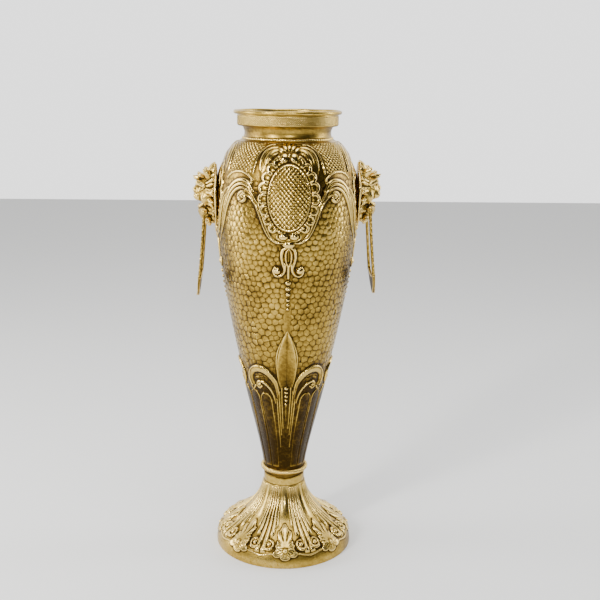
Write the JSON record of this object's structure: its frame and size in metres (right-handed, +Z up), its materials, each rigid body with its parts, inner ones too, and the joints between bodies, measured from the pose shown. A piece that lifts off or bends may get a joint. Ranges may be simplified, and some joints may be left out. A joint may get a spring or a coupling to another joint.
{
  "type": "footed brass vase with mask handles",
  "caption": "Tall tapering repousse brass vase on a round fluted foot, with a collared mouth and a grotesque mask carrying a long drop handle on each side.",
  "frame": {"origin": "centre of the foot on the surface that the vase stands on", "axes": "+Z up the axis of the vase, +X towards the right mask and its handle, -Y towards the front cartouche"},
  "size_m": [0.2488, 0.193, 0.61],
  "materials": {
    "body_brass": "hammered and chased sheet brass, polished on the high spots with brown tarnish in the recesses",
    "neck_brass": "spun sheet brass, polished, with a finely punched band",
    "foot_brass": "chased sheet brass, darker tarnish between the lobes and flutes",
    "rope_brass": "twisted wire, polished on the strands and dark between them",
    "band_brass": "plain polished brass",
    "mask_brass": "cast brass, dull with dark tarnish in the hollows",
    "plate_brass": "cut and punched brass plate",
    "handle_brass": "cast brass, brown tarnish, rubbed bright on the edges",
    "pin_brass": "turned brass, polished ball heads",
    "wire_brass": "drawn brass wire",
    "plain_brass": "plain unpolished brass",
    "steel": "plain steel fastener, slightly dull",
    "rubber_seal": "black rubber washer"
  },
  "bodies": {
    "vase": {"collar": "neck_brass", "lip_wire": "wire_brass", "body_shell": "body_brass", "body_floor": "plain_brass", "rope_ring": "rope_brass", "foot_band": "band_brass", "stem_socket": "plain_brass", "foot_shell": "foot_brass", "tie_rod": "steel", "floor_seal": "rubber_seal", "floor_washer": "steel", "floor_nut": "steel", "foot_bridge": "plain_brass", "foot_washer": "steel", "foot_nut": "steel", "left_mask_plate": "plate_brass", "left_mask_head": "mask_brass", "left_pivot_pins": "pin_brass", "left_mask_studs": "plain_brass", "left_mask_washers": "plain_brass", "left_mask_nuts": "plain_brass", "right_mask_plate": "plate_brass", "right_mask_head": "mask_brass", "right_pivot_pins": "pin_brass", "right_mask_studs": "plain_brass", "right_mask_washers": "plain_brass", "right_mask_nuts": "plain_brass"},
    "left_handle": {"left_handle": "handle_brass"},
    "right_handle": {"right_handle": "handle_brass"}
  },
  "joints": [
    {"name": "left_handle_hinge", "type": "hinge", "parent": "vase", "child": "left_handle", "pos_m": [-0.11, 0, 0.478], "axis": [0, 1, 0], "range_deg": [0, 110]},
    {"name": "right_handle_hinge", "type": "hinge", "parent": "vase", "child": "right_handle", "pos_m": [0.11, 0, 0.482], "axis": [0, -1, 0], "range_deg": [0, 110]}
  ]
}
